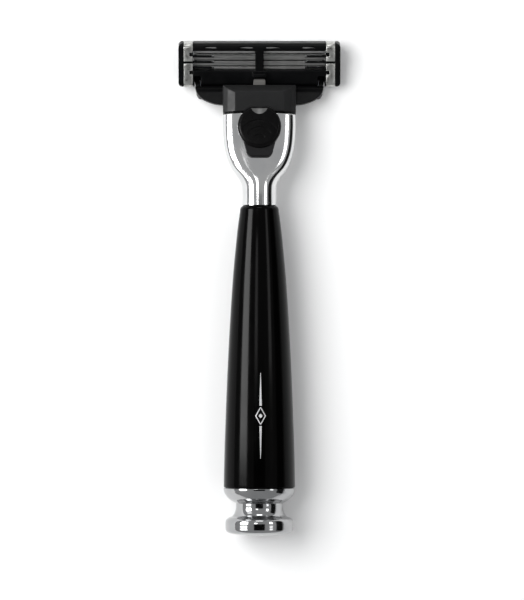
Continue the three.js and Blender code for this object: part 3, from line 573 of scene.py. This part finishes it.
def build_end_cap():
    """Disc foot, waist and cup, with a recess for the washer and a blind bore for the stud."""
    top = CAP_HIGH.y
    foot = CAP_LOW.y
    washer_low, washer_high = corners("end_cap_washer")
    recess = washer_high.x + 0.2
    floor = washer_low.y - 0.05
    disc = spline([(5.2, foot + 0.06), (7.4, foot + 0.42), (8.35, foot + 0.8), (8.74, foot + 1.4),
                   (8.8, foot + 2.3), (8.79, foot + 3.3), (8.58, foot + 4.0), (8.0, foot + 4.5)], 40)
    waist = spline([(7.75, foot + 4.62), (7.0, foot + 4.98), (6.45, foot + 5.75), (6.12, foot + 6.7),
                    (6.06, foot + 7.6), (6.1, foot + 8.25)], 28)
    cup = spline([(6.2, foot + 8.35), (6.75, foot + 8.62), (7.95, foot + 9.4), (8.9, foot + 10.6),
                  (9.2, foot + 11.5), (CAP_RADIUS, top - 0.12)], 30)
    profile = [(NEAR_AXIS, foot), (4.7, foot), (4.95, foot + 0.03)] + disc + waist + cup
    profile += [(CAP_RADIUS - 0.03, top - 0.03), (CAP_RADIUS - 0.12, top), (recess, top), (recess, floor)]
    bore_end = foot + CAP_BORE_END
    profile += [(CAP_STUD_RADIUS, floor), (CAP_STUD_RADIUS, bore_end), (NEAR_AXIS, bore_end)]
    # The cap gets the darker copy of the plating, which is painted shade.
    finish(turned("cap", profile), "chrome_plate", "handle", "end_cap", material=MATERIALS["cap_chrome_painted_shade"])


def build_washer():
    low, high = corners("end_cap_washer")
    r = high.x
    profile = [(CAP_STUD_RADIUS, low.y), (r - 0.1, low.y)]
    profile += arc(r - 0.12, (low.y + high.y) / 2, 0.19, -70, 70, 6)
    profile += [(r - 0.1, high.y), (CAP_STUD_RADIUS, high.y), (CAP_STUD_RADIUS, low.y)]
    finish(turned("washer", profile), "spring_steel", "handle", "end_cap_washer")


# ---- neck ----

NECK_EDGE = 0.45
NECK_KNOTS = [(BARREL_TOP + 0.1, NECK_RADIUS), (25, NECK_RADIUS), (26.6, 4.65), (28.2, 5.45), (30.9, 7.34),
              (33.9, 8.53), (37, 9.15), (41, DOCK_HALF_WIDTH), (DOCK_Y - NECK_EDGE, DOCK_HALF_WIDTH)]
NECK_RING_POINTS = 220


def neck_centre(y):
    """Height of the neck's centre line and its tilt: straight, then a bend, then straight."""
    if y <= BEND_START_Y:
        return AXIS_Z, 0.0
    if y >= BEND_END_Y:
        return AXIS_Z - BEND_DROP - (y - BEND_END_Y) * math.tan(DOCK_TILT), DOCK_TILT
    along = y - BEND_START_Y
    return AXIS_Z - BEND_RADIUS + math.sqrt(BEND_RADIUS ** 2 - along ** 2), math.asin(along / BEND_RADIUS)


def neck_ring(y, half_width, shrink=0.0):
    """A cross-section that goes from round at the barrel to a flat superellipse at the dock."""
    spread = smoothstep(half_width, NECK_RADIUS, DOCK_HALF_WIDTH)
    half_thickness = NECK_RADIUS + (DOCK_HALF_THICKNESS - NECK_RADIUS) * spread - shrink
    power = 2 / (2 + spread)
    z, tilt = neck_centre(y)
    ring = []
    for i in range(NECK_RING_POINTS):
        a = 2 * math.pi * i / NECK_RING_POINTS
        c, s = math.cos(a), math.sin(a)
        across = (half_width - shrink) * math.copysign(abs(c) ** power, c)
        up = half_thickness * math.copysign(abs(s) ** power, s)
        ring.append((across, y + up * math.sin(tilt), z + up * math.cos(tilt)))
    return ring


def rounded_outline(x0, y0, x1, y1, radius):
    out = []
    for cx, cy, start in ((x1 - radius, y1 - radius, 0), (x0 + radius, y1 - radius, 90),
                          (x0 + radius, y0 + radius, 180), (x1 - radius, y0 + radius, 270)):
        out += arc(cx, cy, radius, start, start + 90, 6)
    return out


def circle(centre_x, centre_y, radius, count):
    turns = [2 * math.pi * i / count for i in range(count)]
    return [(centre_x + radius * math.cos(a), centre_y + radius * math.sin(a)) for a in turns]


def build_neck():
    stations = spline(NECK_KNOTS, 130)
    rings = [neck_ring(y, w) for y, w in stations]
    for k in range(1, 6):
        a = math.radians(90 * k / 5)
        y = DOCK_Y - NECK_EDGE + NECK_EDGE * math.sin(a)
        rings.append(neck_ring(y, DOCK_HALF_WIDTH, NECK_EDGE * (1 - math.cos(a))))
    rings.insert(0, neck_ring(BARREL_TOP + 0.02, NECK_RADIUS, 0.1))
    neck = new_object("neck", *ring_loft(rings))
    pocket = prism("pocket", rounded_outline(-6.35, -2.75, 6.35, 2.9, 1.1), -11.3, 6, "Y", DOCK)
    slot = prism("slot", rounded_outline(-1.5, -9.9, 1.5, -1.4, 0.6), 0, 8, "Z", DOCK)
    sink = prism("sink", circle(0, -6, 1.15, 32), -8, -1.5, "Z", DOCK)
    carve(neck, pocket, slot, sink)
    shade(neck, 40)
    finish(neck, "chrome_plate", "handle", "neck_casting")


# ---- release button ----

PAD_RADIUS = 5.65
PAD_Y = -4.0
PAD_FLAT = 5.1
PAD_BOTTOM = 4.4
PAD_TOP = 6.7
SCOOP_START = 3.1
SCOOP_END = 4.65
SCOOP_SLOPE = 0.42
SCOOP_HOLLOW = 0.1
GRIP_CENTRE = -4.0
GRIP_RADII = (1.7, 3.6, 5.5)
GRIP_DEPTH = 0.13
GRIP_RISE = 0.75   # width of a groove's slow side
GRIP_FALL = 0.35   # width of its steep side, as a share of the slow one
PAD_ROWS = 90
PAD_POINTS = 180
PAD_RIM = ((PAD_RADIUS, PAD_BOTTOM + 0.55), (PAD_RADIUS - 0.1, PAD_BOTTOM + 0.2),
           (PAD_RADIUS - 0.45, PAD_BOTTOM))


def crown_height(r):
    crown = PAD_TOP - 0.25 * (r / PAD_RADIUS) ** 2
    edge = min(1.0, max(0.0, r - (PAD_RADIUS - 1.0)))
    return crown - 1.0 + math.sqrt(1.0 - edge ** 2)


def scoop_height(x, y):
    return crown_height(SCOOP_START) - SCOOP_SLOPE * (y - SCOOP_START) + SCOOP_HOLLOW * x * x


def in_scoop(x, y):
    return y > SCOOP_START and scoop_height(x, y) < crown_height(math.hypot(x, y))


def pad_height(x, y):
    """Height of the pad's top: a crown with a scoop at the nose and three faint curved grip grooves."""
    if in_scoop(x, y):
        return scoop_height(x, y)
    crown = crown_height(math.hypot(x, y))
    g = math.hypot(x, y - GRIP_CENTRE)
    angle = math.degrees(math.atan2(x, y - GRIP_CENTRE))
    fade = smoothstep(62 - abs(angle), 0, 14) * smoothstep(PAD_RADIUS - 0.9 - math.hypot(x, y), 0, 0.6)
    fade *= smoothstep(SCOOP_START - y, 0.0, 0.5)
    for radius in GRIP_RADII:
        step = (g - radius) / GRIP_RISE
        if -1 < step < GRIP_FALL:
            crown -= GRIP_DEPTH * fade * (1 - abs(step) if step < 0 else 1 - step / GRIP_FALL) ** 1.5
    return crown


def pad_point(r, i):
    """Point i of the pad's round outline, whose nose is cut off flat."""
    a = 2 * math.pi * i / PAD_POINTS
    return r * math.sin(a), min(PAD_FLAT, r * math.cos(a))


def build_pad():
    verts = [(0, PAD_Y, pad_height(0, 0))]
    for k in range(1, PAD_ROWS + 1):
        r = PAD_RADIUS * (1 - (1 - k / PAD_ROWS) ** 1.35)
        for i in range(PAD_POINTS):
            x, y = pad_point(r, i)
            verts.append((x, PAD_Y + y, pad_height(x, y)))
    for r, z in PAD_RIM:
        for i in range(PAD_POINTS):
            x, y = pad_point(r, i)
            verts.append((x, PAD_Y + y, z))
    rings = PAD_ROWS + len(PAD_RIM)
    faces = [(0, 1 + i, 1 + (i + 1) % PAD_POINTS) for i in range(PAD_POINTS)]
    for k in range(rings - 1):
        a = 1 + k * PAD_POINTS
        b = a + PAD_POINTS
        for i in range(PAD_POINTS):
            j = (i + 1) % PAD_POINTS
            faces.append((a + i, b + i, b + j, a + j))
    faces.append(tuple(1 + (rings - 1) * PAD_POINTS + i for i in range(PAD_POINTS)))
    pad = new_object("button_pad", verts, faces, DOCK)
    shade(pad, 50)
    finish(pad, "button_plastic", "release_button", "button_cap")
    # The scoop's faces get the lighter material: a painted highlight.
    pad.data.materials.append(MATERIALS["painted_scoop_highlight"])
    to_dock = DOCK.inverted() @ Matrix.Scale(1 / MM, 4)
    for face in pad.data.polygons:
        p = to_dock @ face.center
        y = p.y - PAD_Y
        if y < SCOOP_END and p.z > PAD_BOTTOM + 1 and in_scoop(p.x, y):
            face.material_index = 1


def build_tail():
    outline = [(4.6, -6.0), (4.4, -7.0), (3.7, -9.7)] + arc(2.0, -10.2, 1.55, 8, -82, 10)
    outline += [(-x, y) for x, y in reversed(outline)]
    tail = prism("button_tail", outline, PAD_BOTTOM, 5.5, "Z", DOCK)
    bevel(tail, 0.3, 4)
    # The tail's lighter plastic is painted sheen.
    finish(tail, "button_plastic", "release_button", "button_cap", material=MATERIALS["tail_painted_sheen"])


# ---- interconnect and inner dock pieces ----

def build_yoke():
    yoke = soften(copy_of("interconnect", "yoke"), 0.14, 3)
    finish(yoke, "black_plastic", "interconnect", "interconnect", material=MATERIALS["yoke_plastic"])


def build_inner_pieces():
    for node, name, slot, body, voxel in (
        ("dock_insert", "dock_nose", "black_plastic", "handle", 0.12),
        ("plunger", "plunger_slide_piece", "grey_plastic", "plunger", 0.1),
        ("ejector_slider", "ejector_fork", "black_plastic", "release_button", 0.1),
        ("insert_screw", "screw", "spring_steel", "handle", 0.05),
    ):
        finish(soften(copy_of(node, name), voxel, 2), slot, body, node)


SPRING_BACK_Y = -12.0
SPRING_SPLIT_Y = -3.05
SPRING_FRONT_Y = 2.0


def build_spring():
    """Two lengths of one coil: the front one sits at the plunger and the back one at the ejector. Both stay
    with the handle.
    """
    for name, mover, back, front in (("spring_front", "plunger_slide", SPRING_SPLIT_Y, SPRING_FRONT_Y),
                                     ("spring_back", "button_slide", SPRING_BACK_Y, SPRING_SPLIT_Y)):
        coil = copy_of("plunger_spring", name)
        carve(coil, brick("length", (-3, back, -3), (3, front, 3), DOCK), operation="INTERSECT")
        shade(coil, 40)
        finish(coil, "spring_steel", "handle", "plunger_spring")
        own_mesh(coil)


# ---- cartridge ----

FINGER_X = (12.3, 17.4)
FINGER_N = (3.68, 4.0)
FIRST_FINGER_U = 5.15


def both_sides(near, far):
    """The stretch from near to far on the left and on the right, each with its lower end first."""
    return (-far, -near), (near, far)


def build_housing():
    """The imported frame, softened, with the spring fingers that press on the blade carriers."""
    extras = []
    for x0, x1 in both_sides(*FINGER_X):
        for k in range(3):
            u = FIRST_FINGER_U + BLADE_PITCH * k
            extras.append(brick("finger", (x0, u - 0.3, FINGER_N[0]), (x1, u + 0.25, FINGER_N[1]), HEAD))
    frame_piece = merge("frame_moulding", copy_of("cartridge_housing", "skin"), *extras)
    soften(frame_piece, 0.13, 2)
    finish(frame_piece, "black_plastic", "cartridge", "cartridge_housing")


CLIP_THICKNESS = 0.3
CLIP_NOTCH_DEPTH = 0.85
CLIP_NOTCHES_U = ((3.4, 4.5), (8.2, 9.3))


def clip_path():
    """The strip's middle line in (u, n): a rounded rectangle round the housing, broken on the back."""
    mid = CLIP_THICKNESS / 2
    r = HEAD_CORNER - mid
    top = HEAD_DEPTH - mid
    far_u = HEAD_HEIGHT - HEAD_CORNER
    far_n = HEAD_DEPTH - HEAD_CORNER
    path = [(u, top) for u in (6.35, 5.5, 4.6, 4.45, 3.6, 3.45, 2.0)]
    path += arc(HEAD_CORNER, far_n, r, 90, 180, 8)
    path += arc(HEAD_CORNER, HEAD_CORNER, r, 180, 270, 8)
    path += [(u, mid) for u in (3.0, 6.0, 9.0)]
    path += arc(far_u, HEAD_CORNER, r, 270, 360, 8)
    path += arc(far_u, far_n, r, 0, 90, 8)
    path += [(u, top) for u in (9.6, 9.4, 9.25, 8.4, 8.25, 6.95)]
    return path, top


def build_clip(node, side):
    """A strip bent round the housing, with two notches in its inner edge on the back."""
    low, high = corners(node)
    path, top = clip_path()
    inner, outer = (low.x, high.x) if side > 0 else (high.x, low.x)
    columns = [inner, inner + side * CLIP_NOTCH_DEPTH, outer]
    verts = [(x, u, n) for u, n in path for x in columns]
    faces = []
    for k, ((u0, n0), (u1, n1)) in enumerate(zip(path, path[1:])):
        on_back = abs(n0 - top) < 0.01 and abs(n1 - top) < 0.01
        in_notch = any(start < min(u0, u1) and max(u0, u1) < stop for start, stop in CLIP_NOTCHES_U)
        for c in range(1 if on_back and in_notch else 0, 2):
            a = k * 3 + c
            faces.append((a, a + 1, a + 4, a + 3))
    clip = new_object(node + "_strip", verts, faces, HEAD)
    sheet = clip.modifiers.new("sheet", "SOLIDIFY")
    sheet.thickness = CLIP_THICKNESS * MM
    sheet.offset = 0
    apply_modifiers(clip)
    bevel(clip, 0.07, 3, 50)
    shade(clip, 40)
    finish(clip, "clip_aluminium", "cartridge", node)


CARRIER_HALF_WIDTH = 17
CARRIER_RUN = 0.65
CARRIER_RISE = CARRIER_RUN * math.tan(math.radians(22))
CARRIER_THICKNESS = 0.2
CARRIER_BEND = 0.2
FLANGE_REACH = 0.5
FLANGE_TOP = 3.3
FLANGE_ROUND = 0.18
RELIEF_X = (11.8, 16.2)
WELD_RADIUS = 0.22
WELD_N = 2.5
WELDS_X = (4.2, 8.4)


def carrier_outline(u):
    """A bent strip in (u, n): along the blade, up through the bay, and back as a broad flange."""
    back = u + CARRIER_RUN
    inner = back - CARRIER_THICKNESS
    front = max(u - FLANGE_REACH, BAY_START_U + 0.1)
    bend_start = back - CARRIER_BEND
    low = 0.17 + CARRIER_RISE
    outline = [(u + 0.25, 0.35), (bend_start, low)]
    outline += arc(bend_start, low + CARRIER_BEND, CARRIER_BEND, -70, -10, 3)
    outline += [(back, 0.8 + CARRIER_RISE), (back, FLANGE_TOP - FLANGE_ROUND)]
    outline += arc(back - FLANGE_ROUND, FLANGE_TOP - FLANGE_ROUND, FLANGE_ROUND, 30, 90, 2)
    outline += [(front, FLANGE_TOP), (front, FLANGE_TOP - CARRIER_THICKNESS)]
    outline += [(inner, FLANGE_TOP - CARRIER_THICKNESS), (inner, 0.75 + CARRIER_RISE)]
    outline += [(inner - 0.12, 0.45 + CARRIER_RISE), (u + 0.2, 0.55)]
    return outline


def build_carriers():
    """Each carrier has a relief towards either end of its flange and two small weld pits a side."""
    for i in (1, 2, 3):
        u = BAY_START_U + 0.15 + (i - 1) * BLADE_PITCH
        strip = prism(f"carrier_{i}", carrier_outline(u), -CARRIER_HALF_WIDTH, CARRIER_HALF_WIDTH, "X", HEAD)
        cuts = []
        for side, (x0, x1) in zip((-1, 1), both_sides(*RELIEF_X)):
            cuts.append(brick("relief", (x0, u + 0.05, 2.3), (x1, u + 2, 4), HEAD))
            for x in WELDS_X:
                weld = circle(side * x, WELD_N, WELD_RADIUS, 12)
                cuts.append(prism("weld", weld, u + 0.3, u + 0.8, "Y", HEAD))
        carve(strip, *cuts)
        shade(strip, 30)
        finish(strip, "blade_steel", f"blade_unit_{i}", f"blade_support_{i}",
               material=MATERIALS["carrier_steel"])


TABS_X = ((14.2, 11.2), (5.1, 1.8))   # thin end and thick end of each tab
TAB_N = (HEAD_DEPTH - 0.35, HEAD_DEPTH - 0.06)
LIP_X = (1.2, 16.9)
LIP_U = (8.9, 9.35)
LIP_N = (2.85, 3.08)


def tab_outline(side, thin, thick):
    outline = [(side * thin, RAIL_SLOT_U - 0.03), (side * (thin * 0.3 + thick * 0.7), RAIL_SLOT_U - 0.19),
               (side * thick, RAIL_SLOT_U - 0.15), (side * thick, RAIL_SLOT_U + 0.1),
               (side * (thin * 0.5 + thick * 0.5), RAIL_SLOT_U + 0.17)]
    return outline if side > 0 else list(reversed(outline))


def build_rail_tabs():
    """Tapered grey tabs in the cap rail's four slots and a grey lip along the blade bay: painted glints on
    the tabs, a painted highlight line on the lip.
    """
    tabs = [prism("tab", tab_outline(side, thin, thick), *TAB_N, "Z", HEAD)
            for side in (-1, 1) for thin, thick in TABS_X]
    lips = [brick("lip", (x0, LIP_U[0], LIP_N[0]), (x1, LIP_U[1], LIP_N[1]), HEAD)
            for x0, x1 in both_sides(*LIP_X)]
    for name, pieces, material in (("rail_tabs", tabs, "painted_tab_glints"), ("rail_lips", lips, "painted_lip_highlight")):
        joined = merge(name, *pieces)
        bevel(joined, 0.05, 2)
        finish(joined, "grey_plastic", "cartridge", material=MATERIALS[material])


STRIP_START_U = 9.65
STRIP_RUN = 1.3
STRIP_TOP_N = 0.62


def build_comb_and_strip():
    """The guard's rubber comb and the lubricating strip, whose face bulges towards the skin."""
    finish(soften(copy_of("guard_fins", "comb"), 0.09, 1), "soft_rubber", "cartridge", "guard_fins")
    low, high = corners("lubricating_strip")
    outline = [(STRIP_START_U, STRIP_TOP_N), (STRIP_START_U, 0.16)]
    outline += [(STRIP_START_U + STRIP_RUN * t, 0.1 - 0.12 * math.sin(math.pi * t))
                for t in (0.1, 0.3, 0.5, 0.7, 0.9)]
    outline += [(STRIP_START_U + STRIP_RUN, 0.16), (STRIP_START_U + STRIP_RUN, STRIP_TOP_N)]
    strip = prism("soap_strip", outline, low.x, high.x, "X", HEAD)
    bevel(strip, 0.08, 2)
    finish(strip, "strip_gel", "cartridge", "lubricating_strip")


CARRIED_NODES = (
    ("core_tube", "brass"), ("tube_bush_front", "brass"), ("tube_bush_rear", "brass"),
    ("neck_stud", "spring_steel"), ("end_cap_stud", "spring_steel"),
    ("blade_1", "blade_steel"), ("blade_2", "blade_steel"), ("blade_3", "blade_steel"),
)


def dress_carried_nodes():
    """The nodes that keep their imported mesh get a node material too."""
    for node, slot in CARRIED_NODES:
        data = frame["nodes"][node].data
        data.materials.clear()
        data.materials.append(MATERIALS[slot])


# ---- stage ----

VIEW_CENTRE = Vector((0.67, -3.23, AXIS_Z)) * MM
VIEW_HEIGHT = 155.1 * MM
CAMERA_DISTANCE = 1.4
SENSOR_HEIGHT = 36
FLOOR_REACH = 1500


def build_camera():
    data = bpy.data.cameras.new("camera")
    data.sensor_fit = "VERTICAL"
    data.sensor_height = SENSOR_HEIGHT
    data.lens = SENSOR_HEIGHT * CAMERA_DISTANCE / VIEW_HEIGHT
    data.clip_start = 0.05
    data.clip_end = 20
    camera = bpy.data.objects.new("camera", data)
    camera.location = VIEW_CENTRE + Vector((0, 0, CAMERA_DISTANCE))
    bpy.context.scene.collection.objects.link(camera)
    bpy.context.scene.camera = camera


def build_floor():
    s = Shader("pale_floor")
    s.bump(s.noise(400, 3), 0.02, 0.00005)
    colour = s.tint(s.ramp(s.noise(12, 3), 0, 1), (0.97, 0.97, 0.97), (0.985, 0.985, 0.985))
    verts = [(x * FLOOR_REACH, y * FLOOR_REACH, 0) for x, y in ((-1, -1), (1, -1), (1, 1), (-1, 1))]
    floor = new_object("floor", verts, [(0, 1, 2, 3)], smooth=False)
    floor.data.materials.append(s.set(Base_Color=colour, Roughness=0.9, Specular_IOR_Level=0.1))


def panel(name, azimuth, zenith, distance, width, length, power, diffuse=True, glossy=True, shift=0.0):
    """A soft light that faces the razor: zenith is the angle from overhead, towards +X at azimuth 0.

    Lengths are in metres. shift moves it along the handle, and diffuse and glossy say which kinds of
    reflection show it.
    """
    data = bpy.data.lights.new(name, "AREA")
    data.shape = "RECTANGLE"
    data.size = length
    data.size_y = width
    data.energy = power
    light = bpy.data.objects.new(name, data)
    z = math.radians(zenith)
    a = math.radians(azimuth)
    out = Vector((math.sin(z) * math.cos(a), math.sin(z) * math.sin(a), math.cos(z)))
    light.location = out * distance + Vector((0, shift, 0))
    light.rotation_euler = out.to_track_quat("Z", "Y").to_euler()
    light.visible_diffuse = diffuse
    light.visible_glossy = glossy
    bpy.context.scene.collection.objects.link(light)


WORLD_STRENGTH = 0.42
FLAGS = (
    ((215, -170, 30), (219, 120, 140)),
    ((-300, -420, 900), (300, 36, 904)),
)


def build_flags():
    """Black cards out of the picture, beside and above the set, that polished pieces mirror as dark areas."""
    s = Shader("black_card")
    card = s.set(Base_Color=s.tint(s.noise(30), (0.002, 0.002, 0.002), (0.004, 0.004, 0.004)),
                 Roughness=0.9, Specular_IOR_Level=0.1)
    for low, high in FLAGS:
        flag = brick("flag", low, high)
        flag.data.materials.append(card)
        flag.visible_camera = False
        flag.visible_diffuse = False
        flag.visible_shadow = False


def build_lights():
    """A key that casts the shadow, a fill, and strips and panels that show only in reflections."""
    scene = bpy.context.scene
    world = bpy.data.worlds.new("studio")
    scene.world = world
    world.use_nodes = True
    background = world.node_tree.nodes["Background"].inputs
    background["Color"].default_value = (0.98, 0.99, 1.0, 1)
    background["Strength"].default_value = WORLD_STRENGTH
    panel("key", 158, 36, 0.75, 0.58, 0.58, 5.6, glossy=False)
    panel("fill", 0, 35, 0.75, 0.5, 0.5, 0.7, glossy=False)
    panel("left_strip", 180, 54, 0.6, 0.27, 0.24, 3.9, diffuse=False, shift=0.085)
    panel("left_upper", 180, 54, 0.6, 0.27, 0.38, 0.4, diffuse=False, shift=0.39)
    panel("top_strip", 180, 12, 0.7, 0.12, 0.13, 0.23, diffuse=False, shift=0.10)
    panel("right_strip", 0, 40, 0.65, 0.12, 0.26, 0.44, diffuse=False, shift=0.155)
    panel("tail_left", 180, 54, 0.6, 0.27, 0.16, 0.6, diffuse=False, shift=-0.18)
    panel("tail_right", 0, 40, 0.65, 0.12, 0.16, 0.12, diffuse=False, shift=-0.18)
    panel("head_panel", 90, 62, 0.6, 0.2, 0.2, 0.5, diffuse=False)
    scene.view_settings.view_transform = "Standard"
    scene.view_settings.look = "None"


build_camera()
build_floor()
build_flags()
build_lights()
build_barrel()
build_ornament()
build_end_cap()
build_washer()
build_neck()
build_pad()
build_tail()
build_yoke()
build_inner_pieces()
build_spring()
build_housing()
build_clip("clip_left", -1)
build_clip("clip_right", 1)
build_carriers()
build_rail_tabs()
build_comb_and_strip()
dress_carried_nodes()
